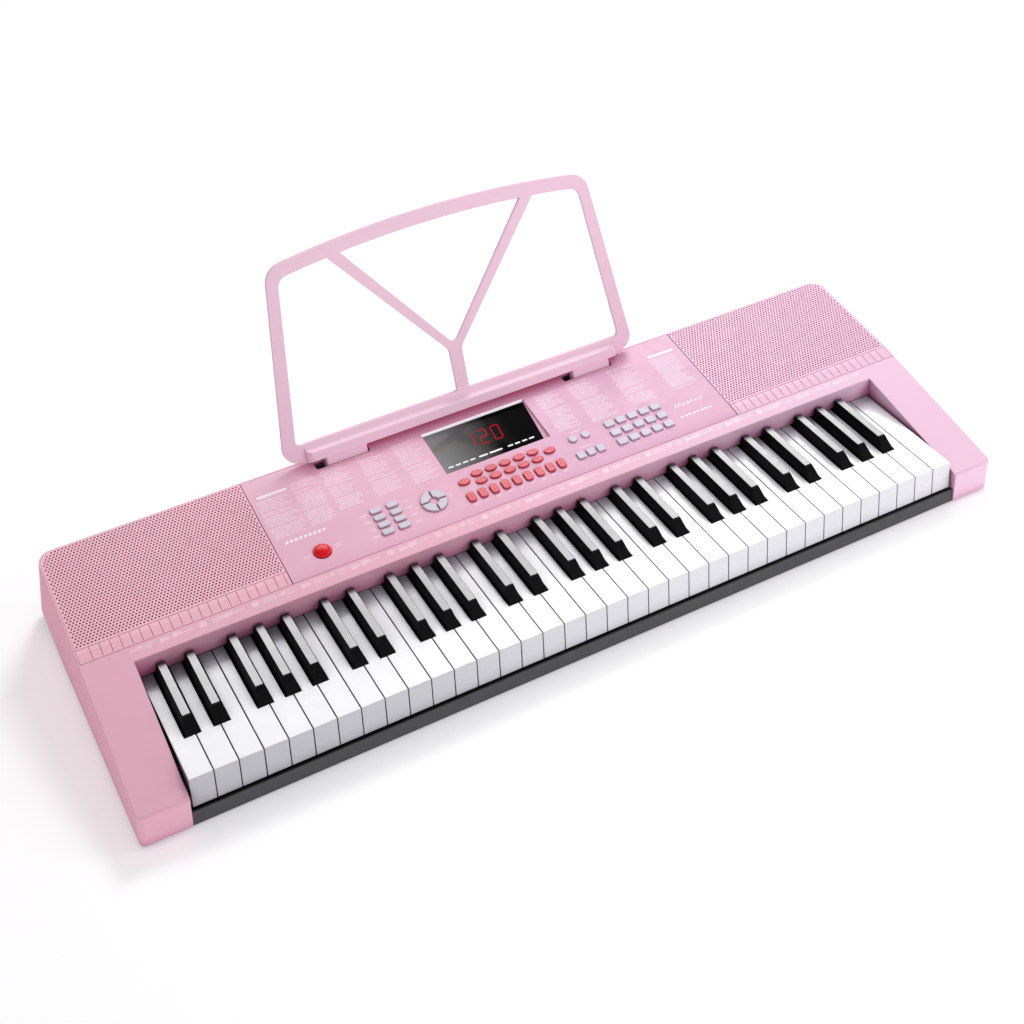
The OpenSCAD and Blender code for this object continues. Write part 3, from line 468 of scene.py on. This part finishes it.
# ---------------------------------------------------------------- CAD nodes that are shown as they are
SLOT = {s["node"]: s["material_slot"] for s in frame["record"]["subparts"]}
BODY = {n: b for b, ns in frame["record"]["behaviour"]["bodies"].items() for n in ns}
for n, o in N.items():
    paint(o, SLOT[n])

# ---------------------------------------------------------------- case skins
on_top = lambda v: abs(v.z - topz(v.y)) < 0.06
deep = lambda v: v.z < -16


WA = math.radians(25)
WY = 300.3 + 3 * math.sin(DA) + 3 * math.cos(WA)
WZ = ZB + (300.3 - YB) * math.tan(DA) - 3 * math.cos(DA) + 3 * math.sin(WA)


def inset(v):
    """How far a point lies inside the case's outline, which has round corners swept along the rear wall."""
    w = 0.05 - ((v.y - WY) * math.cos(WA) + (v.z - WZ) * math.sin(WA))
    u = 473.0 - abs(v.x)
    if u < 16 and w < 16:
        return 16 - math.hypot(16 - u, 16 - w)
    return min(u, w)


def outer_edge(a, b):
    def ok(v):
        if v.y < 150 and v.z > -19 or v.y >= 150 and inset(v) < 0.25:
            return on_top(v) or v.y > 300.2 and v.z > -20 or v.y < -5.5 and v.z > -18
        return False
    if a.y < -3 and b.y < -3:
        return False
    return ok(a) and ok(b)


def rim_edge(a, b):
    return on_top(a) and on_top(b) and abs(a.y - 140.5) < 0.1 and abs(b.y - 140.5) < 0.1


case = refined("top_case", "pink_case", "case", [
    (outer_edge, 0.5, 2),
    (lambda a, b: on_top(a) and on_top(b) and 157 < a.y and 157 < b.y and a.y < 290 and b.y < 290 and inset(a) > 1.5 and inset(b) > 1.5, 0.3, 2),
])
panel = refined("control_panel", "pink_panel", "case", [
    (lambda a, b: on_top(a) and on_top(b) and (abs(abs(a.x) - 259.6) < 0.05 and abs(abs(b.x) - 259.6) < 0.05
                                               or abs(a.y - b.y) < 0.1 and (a.y < 158 or a.y > 295) and abs(a.x - b.x) > 50), 0.4, 2),
])

# ---------------------------------------------------------------- perforated grilles
def plate_inset(x, s_):
    """Distance of a deck point from the outline of the plate, whose outer rear corner is round."""
    return inset(Q(deck(x, s_, 0))) - 2.0


def grille(node, side):
    bm = clean_copy(node)
    cut = 175.2
    co = P(0, cut, topz(cut))
    no = Vector((0, math.cos(DA), math.sin(DA)))
    geom = bm.verts[:] + bm.edges[:] + bm.faces[:]
    res = bmesh.ops.bisect_plane(bm, geom=geom, plane_co=co, plane_no=no, clear_outer=True)
    edges = [e for e in res["geom_cut"] if isinstance(e, bmesh.types.BMEdge)]
    bmesh.ops.holes_fill(bm, edges=edges, sides=0)
    soften(bm, lambda a, b: on_top(a) and on_top(b) and (a.y < 158 and b.y < 158 or abs(abs(a.x) - abs(b.x)) < 0.1 and (abs(a.x) < 261 or abs(a.x) > 470)), 0.3, 2)
    strip = bpy.data.meshes.new(node + "_strip")
    bm.to_mesh(strip)
    bm.free()

    bm = bmesh.new()
    lo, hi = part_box(node)
    x0, x1 = lo.x * 1000, hi.x * 1000
    s0 = S(cut)
    s1 = S(300.0)
    bot = 2.35 * math.cos(DA)
    nx, ny = 57, 39
    mx_, my0, my1 = 0.55, 0.5, 0.45
    px = (x1 - x0 - 2 * mx_) / (nx + 0.5)
    py = (s1 - s0 - my0 - my1) / ny
    r = 1.08
    cache = {}

    def vert(x, s, lev):
        k = (round(x * 50), round(s * 50), lev)
        if k not in cache:
            h = 0.0 if lev == 0 else -bot
            cache[k] = bm.verts.new(deck(x, s, h))
        return cache[k]

    def ring(cx, cy, lev):
        h = -bot if lev else 0.0
        ra = r
        return [bm.verts.new(deck(cx + ra * math.cos(math.radians(22.5 * k)), cy + ra * math.sin(math.radians(22.5 * k)), h))
                for k in range(16)]

    for j in range(ny):
        ya, yb_ = s0 + my0 + j * py, s0 + my0 + (j + 1) * py
        off = 0.5 * px if j % 2 else 0.0
        for i in range(nx):
            xa = x0 + mx_ + off + i * px
            xb = xa + px
            xm, ym = (xa + xb) / 2, (ya + yb_) / 2
            bd = [(xb, ym), (xb, yb_), (xm, yb_), (xa, yb_), (xa, ym), (xa, ya), (xm, ya), (xb, ya)]
            solid = plate_inset(xm, ym) < 2.2 and ym > s1 - 20
            rings = []
            for lev in (0, 1):
                outer = [vert(x, y, lev) for x, y in bd]
                if solid:
                    bm.faces.new(outer if lev == 0 else list(reversed(outer)))
                    continue
                rg = ring(xm, ym, lev)
                rings.append(rg)
                for k in range(8):
                    l = (k + 1) % 8
                    f = (rg[2 * k], outer[k], outer[l], rg[2 * l], rg[2 * k + 1])
                    bm.faces.new(f if lev == 0 else tuple(reversed(f)))
            if solid:
                continue
            for k in range(16):
                l = (k + 1) % 16
                bm.faces.new((rings[0][k], rings[0][l], rings[1][l], rings[1][k]))
        # solid ends of the row
        for xa, xb in ((x0, x0 + mx_ + off), (x1 - mx_ - (0.5 * px - off), x1)):
            for lev in (0, 1):
                left_open = xa == x0
                a, b_, c, d = vert(xa, ya, lev), vert(xb, ya, lev), vert(xb, yb_, lev), vert(xa, yb_, lev)
                mids = [vert(xb, (ya + yb_) / 2, lev)] if left_open else [vert(xa, (ya + yb_) / 2, lev)]
                loop = [a, b_, mids[0], c, d] if left_open else [a, b_, c, d, mids[0]]
                bm.faces.new(loop if lev == 0 else list(reversed(loop)))
    # front and rear borders
    for ya, yb_ in ((s0, s0 + my0), (s0 + my0 + ny * py, s1)):
        for lev in (0, 1):
            q = [vert(x0, ya, lev), vert(x1, ya, lev), vert(x1, yb_, lev), vert(x0, yb_, lev)]
            bm.faces.new(q if lev == 0 else list(reversed(q)))
    # outer walls
    yy = [s0, s0 + my0] + [s0 + my0 + (j + 1) * py for j in range(ny)] + [s1]
    for a, b_ in zip(yy, yy[1:]):
        bm.faces.new((vert(x0, b_, 0), vert(x0, a, 0), vert(x0, a, 1), vert(x0, b_, 1)))
        bm.faces.new((vert(x1, a, 0), vert(x1, b_, 0), vert(x1, b_, 1), vert(x1, a, 1)))
    bm.faces.new((vert(x1, s1, 0), vert(x0, s1, 0), vert(x0, s1, 1), vert(x1, s1, 1)))
    bm.faces.new((vert(x0, s0, 0), vert(x1, s0, 0), vert(x1, s0, 1), vert(x0, s0, 1)))
    # round outer rear corner, planed off through the solid cells
    for k in range(9):
        ang = math.radians(4 + 82 * k / 8)
        nrm = Vector((side * math.cos(ang), math.sin(ang) * math.cos(WA), math.sin(ang) * math.sin(WA)))
        cen = P(side * 457.0, WY - 15.95 * math.cos(WA), WZ - 15.95 * math.sin(WA))
        near = [f for f in bm.faces if any(abs(v.co.x) > 0.452 and v.co.y > 0.098 for v in f.verts)]
        es = {e for f in near for e in f.edges}
        vs = {v for f in near for v in f.verts}
        res = bmesh.ops.bisect_plane(bm, geom=list(vs) + list(es) + near, dist=1e-7, plane_co=cen + nrm * 0.014,
                                     plane_no=nrm, clear_outer=True)
        edges = [e for e in res["geom_cut"] if isinstance(e, bmesh.types.BMEdge) and e.is_boundary]
        if edges:
            bmesh.ops.holes_fill(bm, edges=edges, sides=0)
    bm.from_mesh(strip)
    bpy.data.meshes.remove(strip)
    o = new_object(node + "_mesh", bm, "pink_grille", "case", angle=2, weighted=False)
    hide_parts(node)
    return o


grille("grille_left", -1)
grille("grille_right", 1)

# ---------------------------------------------------------------- keys
def white_pick(a, b):
    if a.z > -0.05 and b.z > -0.05:
        return True
    return a.y < 0.05 and b.y < 0.05


def black_pick(a, b):
    return a.z > 0.5 and b.z > 0.5 or (a.y < 62.5 and b.y < 62.5 and max(a.z, b.z) > 5)


def black_rear(a, b):
    return a.y > 138.5 and b.y > 138.5 and abs(a.z - b.z) > 5 and max(a.z, b.z) > 8


for n in [k for k in N if SLOT[k] == "key_white"]:
    refined(n, "key_white", BODY[n], [(white_pick, 0.55, 3)])
for n in [k for k in N if SLOT[k] == "key_black"]:
    refined(n, "key_black", BODY[n], [(black_rear, 2.4, 6), (black_pick, 0.32, 2)])

# ---------------------------------------------------------------- buttons
def height(v):
    return -(v.y - YB) * math.sin(DA) + (v.z - ZB) * math.cos(DA)


for n in ["mode_buttons", "oval_buttons", "bar_buttons", "round_buttons", "square_buttons", "number_buttons",
          "dpad_rear_left", "dpad_front_right", "dpad_front_left", "dpad_rear_right"]:
    refined(n, SLOT[n], BODY[n], [(lambda a, b: height(a) > 2.1 and height(b) > 2.1, 0.6, 3)])

# ---------------------------------------------------------------- music rest
def rest_td(v):
    dy, dz = v.y - 293.4, v.z - 48.0
    return dy * math.sin(RA) + dz * math.cos(RA), -dy * math.cos(RA) + dz * math.sin(RA)


def rest_pick(a, b):
    (ta, da), (tb, db) = rest_td(a), rest_td(b)
    if min(ta, tb) < 20 and max(abs(a.x), abs(b.x)) < 193:
        return False
    return (a - b).length > 1.2 and (max(abs(da), abs(db)) < 0.05 or max(abs(da + 4.6), abs(db + 4.6)) < 0.05)


refined("music_rest", "pink_rest", "sheet_rest", [(rest_pick, 0.6, 3)])

# ---------------------------------------------------------------- printed marks (plain bars and shapes only)
rnd = random.Random(11)
ink = bmesh.new()
soft = bmesh.new()
H0, H1 = -0.03, 0.05


def column(x0, x1, y0, y1):
    y = y1
    while y > y0:
        s = S(y)
        x = x0 + rnd.choice([0, 0, 0, 1.2, 2.4])
        end = x1 - rnd.choice([0, 0, 1, 3, 6, 10])
        while x < end:
            w = min(rnd.uniform(4.0, 12.0), end - x)
            if w > 1:
                slab(soft, bar(x + w / 2, s, w, 0.85), deck, H0, H1)
            x += w + 0.9
        y -= 2.6 if rnd.random() < 0.88 else 4.4


def label_pill(x0, x1, y):
    slab(ink, bar((x0 + x1) / 2, S(y), x1 - x0, 3.2, r=1.5), deck, H0, H1)


for x0, x1, y0, y1 in ((-255, -218, 214, 268), (-215, -187, 217, 277), (-181, -152, 219, 279), (-140, -111, 222, 281), (-99, -69, 219, 279),
                       (72, 100, 218, 277), (113, 146, 217, 278), (164, 196, 219, 277), (217, 249, 216, 271)):
    column(x0, x1, y0, y1)
label_pill(-252, -219, 274)
label_pill(219, 252, 276)
# name plates, replaced by plain marks
for i in range(9):
    slab(ink, bar(-246 + i * 5.0, S(207), 3.3, 3.4, slant=0.3), deck, H0, H1)
for i in range(7):
    x = 205 + i * 5.2
    slab(ink, bar(x, S(197 + 1.6 * math.sin(i * 1.9)), 1.1, 6.4 - (i % 3) * 1.5, slant=0.45), deck, H0, H1)
    slab(ink, bar(x + 2.2, S(197), 3.6, 0.8, slant=0.3), deck, H0, H1 + 0.02)
for i in range(8):
    slab(ink, bar(203 + i * 5.2, S(180.5), 3.7, 2.2, slant=0.2, r=0.6), deck, H0, H1)
# small marks by the buttons
for c in range(9):
    slab(soft, bar(-54.2 + c * 13.23, S(178.8) - 9.6, 6.0, 0.7), deck, H0, H1)
    if c % 2 == 0:
        slab(soft, bar(-54.2 + c * 13.23, S(178.8) - 11.4, 4.0, 0.6), deck, H0, H1)
for c in range(5):
    for r_ in range(3):
        slab(soft, bar(126 + c * 14.55, S(177.9 + r_ * 14.15) - 5.9, 5.0, 0.6), deck, H0, H1)
for r_ in range(4):
    for x in (-163.5, -116.5):
        slab(soft, bar(x, S(175.3 + r_ * 10.1), 8.5, 0.65), deck, H0, H1)
        slab(soft, bar(x + 0.7, S(175.3 + r_ * 10.1) - 1.7, 6.0, 0.6), deck, H0, H1)
for x, y, w in ((-235, 181, 7), (-201, 184, 8), (-201, 181.5, 6), (-110.5, 191, 4), (-71.5, 191, 4), (87, 213, 12), (88, 189.5, 14)):
    slab(soft, bar(x, S(y), w, 0.8), deck, H0, H1)
# row of instrument-style marks between the panel and the keys: simple shapes
icon = bmesh.new()
x = -420.0
k = 0
while x < 416:
    t = 17.2
    kind = (k * 5 + k // 7) % 7
    if kind == 0:
        slab(icon, bar(x, t, 9.5, 1.5, slant=0.2), front, H0, H1)
        slab(icon, disc(x + 4.5, t - 0.8, 2.4), front, H0, H1 + 0.02)
        slab(icon, bar(x - 4.4, t + 0.4, 1.6, 4.4), front, H0, H1 + 0.04)
    elif kind == 1:
        slab(icon, disc(x - 2.6, t, 3.1), front, H0, H1)
        slab(icon, disc(x + 1.6, t - 0.6, 2.4), front, H0, H1 + 0.02)
        slab(icon, bar(x + 5.0, t + 0.4, 4.6, 1.5, slant=0.3), front, H0, H1 + 0.04)
    elif kind == 2:
        for d in (-4.2, -1.4, 1.4, 4.2):
            slab(icon, bar(x + d, t, 1.8, 6.6 - abs(d) * 0.5), front, H0, H1)
    elif kind == 3:
        slab(icon, [(x - 5.2, t - 2.9), (x + 4.6, t - 1.0), (x + 4.6, t + 1.8), (x - 5.2, t + 3.2)], front, H0, H1)
    elif kind == 4:
        slab(icon, bar(x, t, 7.4, 6.0, r=2.0), front, H0, H1)
    elif kind == 5:
        slab(icon, bar(x, t - 1.7, 10, 1.5), front, H0, H1)
        slab(icon, bar(x - 0.8, t + 1.6, 6.5, 2.0, r=0.9), front, H0, H1)
    else:
        slab(icon, bar(x, t, 8.6, 1.7, slant=0.5), front, H0, H1)
    x += 13.0 + 2.4 * math.sin(k * 1.7)
    k += 1
new_object("printed_marks", ink, "print", "case", weighted=False)
new_object("printed_lines", soft, "print_soft", "case", weighted=False)
new_object("strip_marks", icon, "print_faint", "case", weighted=False)

# ---------------------------------------------------------------- display
WIN = -3.4
led = bmesh.new()


def digit(cx, cy, w, h, segs, lean=0.10):
    t = 1.25
    g_ = 0.3

    def hseg(y):
        a = w / 2 - g_
        return [(-a, y), (-a + t / 2, y - t / 2), (a - t / 2, y - t / 2), (a, y), (a - t / 2, y + t / 2), (-a + t / 2, y + t / 2)]

    def vseg(x, ya, yb_):
        ya, yb_ = ya + g_, yb_ - g_
        return [(x, ya), (x + t / 2, ya + t / 2), (x + t / 2, yb_ - t / 2), (x, yb_), (x - t / 2, yb_ - t / 2), (x - t / 2, ya + t / 2)]

    shapes = {"a": hseg(h / 2), "g": hseg(0), "d": hseg(-h / 2), "b": vseg(w / 2, 0, h / 2), "c": vseg(w / 2, -h / 2, 0),
              "f": vseg(-w / 2, 0, h / 2), "e": vseg(-w / 2, -h / 2, 0)}
    for s_ in segs:
        slab(led, [(cx + x_ + lean * y_, cy + y_) for x_, y_ in shapes[s_]], deck, WIN - 0.02, WIN + 0.06)


for cx, segs in ((-18.0, "bc"), (-1.6, "abged"), (14.0, "abcdef")):
    digit(cx, S(253), 8.8, 20.0, segs)
new_object("lit_digits", led, "led_red", "case", weighted=False)
dash = bmesh.new()
for x in (-52.5, -44, -35.5, -27, 18, 26.5, 35, 43.5):
    slab(dash, bar(x, S(228.5), 6.0, 1.9), deck, WIN - 0.02, WIN + 0.06)
for x, w in ((-14.5, 10.5), (0.5, 15.5)):
    slab(dash, bar(x, S(228.5), w, 2.2, r=1.0), deck, WIN - 0.02, WIN + 0.06)
# white edge behind the window, with a painted glow from its emission
s1 = S(218.7) + 63.2
new_object("display_marks", dash, "print_white", "case", weighted=False)
edge = bmesh.new()
slab(edge, [(-62.2, s1 - 0.9), (60.2, s1 - 0.9), (60.2, s1 - 0.02), (-62.2, s1 - 0.02)], deck, -3.3, -0.05)
new_object("display_edge", edge, "edge_white_glow", "case", weighted=False)

# ---------------------------------------------------------------- underside label, blank
lab = bmesh.new()
slab(lab, [(p[0], p[1]) for p in bar(-330, 120, 90, 50, r=3)], lambda x, y, h: P(x, y, -49 - h), -0.05, 0.12)
new_object("blank_label", lab, "print_dark", "case", weighted=False)

# ---------------------------------------------------------------- floor and light
me = bpy.data.meshes.new("floor")
me.from_pydata([(-9, -9, 0), (9, -9, 0), (9, 9, 0), (-9, 9, 0)], [], [(0, 1, 2, 3)])
floor = bpy.data.objects.new("floor", me)
floor.location.z = -0.0002
SC.collection.objects.link(floor)
fm = mat("floor_pale", (0.93, 0.93, 0.935), 1.0, 0.006, 300, 0.0, spec=0.0, wear=0, rv=0.0, patch=1.5, emit=(1, 1, 1), power=0.34)
me.materials.append(fm)

world = bpy.data.worlds.new("studio")
SC.world = world
world.use_nodes = True
bg = world.node_tree.nodes["Background"]
bg.inputs[0].default_value = (1, 0.99, 1, 1)
bg.inputs[1].default_value = 0.44


def area(name, loc, target, size, power, col=(1, 1, 1), diffuse=True, glossy=True, size_y=None):
    d = bpy.data.lights.new(name, "AREA")
    d.energy = power
    d.color = col
    d.size = size
    if size_y:
        d.shape = "RECTANGLE"
        d.size_y = size_y
    o = bpy.data.objects.new(name, d)
    SC.collection.objects.link(o)
    o.location = loc
    o.rotation_mode = "QUATERNION"
    o.rotation_quaternion = (Vector(target) - Vector(loc)).to_track_quat("-Z", "Y")
    o.visible_camera = False
    o.visible_diffuse = diffuse
    o.visible_glossy = glossy
    return o


area("key_light", (0.9, 1.1, 2.0), (0.0, 0, 0), 0.8, 22, glossy=False)
area("right_fill", (1.25, -0.75, 0.85), (0.42, 0.05, 0.05), 0.7, 5.5, col=(0.97, 0.93, 1.0), glossy=False)
area("front_fill", (0.85, -2.1, 1.35), (0.1, 0, 0.1), 1.6, 4.2)
card = area("rear_card", (0.9, 2.4, 2.2), (0, 0, 0.05), 3.2, 235, diffuse=False, size_y=2.0)
polished = bpy.data.collections.new("polished")
for o in [o for o in SC.objects if o.type == "MESH" and any(m and m.name in ("key_black", "key_white", "display_glass") for m in o.data.materials)]:
    polished.objects.link(o)
card.light_linking.receiver_collection = polished
sp = bpy.data.lights.new("rest_spot", "SPOT")
sp.energy, sp.spot_size, sp.spot_blend, sp.shadow_soft_size = 33, math.radians(13), 0.5, 0.12
so = bpy.data.objects.new("rest_spot", sp)
SC.collection.objects.link(so)
so.location = (0.3, -2.5, 0.95)
so.rotation_mode = "QUATERNION"
so.rotation_quaternion = (Vector((0, 0.15, 0.235)) - Vector(so.location)).to_track_quat("-Z", "Y")
so.visible_glossy = False

SC.view_settings.view_transform = "Standard"
SC.view_settings.look = "None"

# ---------------------------------------------------------------- camera: solved pose, shifted centre kept as a shear
F, CX, CY = 1807.81134, 501.61943, 31.02031
R0 = Vector((0.88433142, -0.46427221, -0.04908404))
R1 = Vector((-0.2304526, -0.3426721, -0.91075102))
R2 = Vector((0.40601666, 0.81671729, -0.41002845))
C = P(-670.00840, -1186.92301, 1225.02784)
p_, q_ = (CX - 512) / F, (512 - CY) / F
Xc, Yc, Zc = R0, -R1, -R2
c3 = Zc + p_ * Xc + q_ * Yc
s_ = c3.length
c3 = c3 / s_
cam = bpy.data.cameras.new("camera")
cam.sensor_width = 36
cam.lens = F * s_ * 36 / 1024
cam.clip_start, cam.clip_end = 0.01, 60
co = bpy.data.objects.new("camera", cam)
SC.collection.objects.link(co)
rig = bpy.data.objects.new("camera_rig", None)
SC.collection.objects.link(rig)
co.parent = rig
mi = Matrix.Identity(4)
for i in range(3):
    mi[i][0], mi[i][1], mi[i][2], mi[i][3] = Xc[i], Yc[i], c3[i], C[i]
co.matrix_parent_inverse = mi
SC.camera = co

bpy.context.view_layer.update()
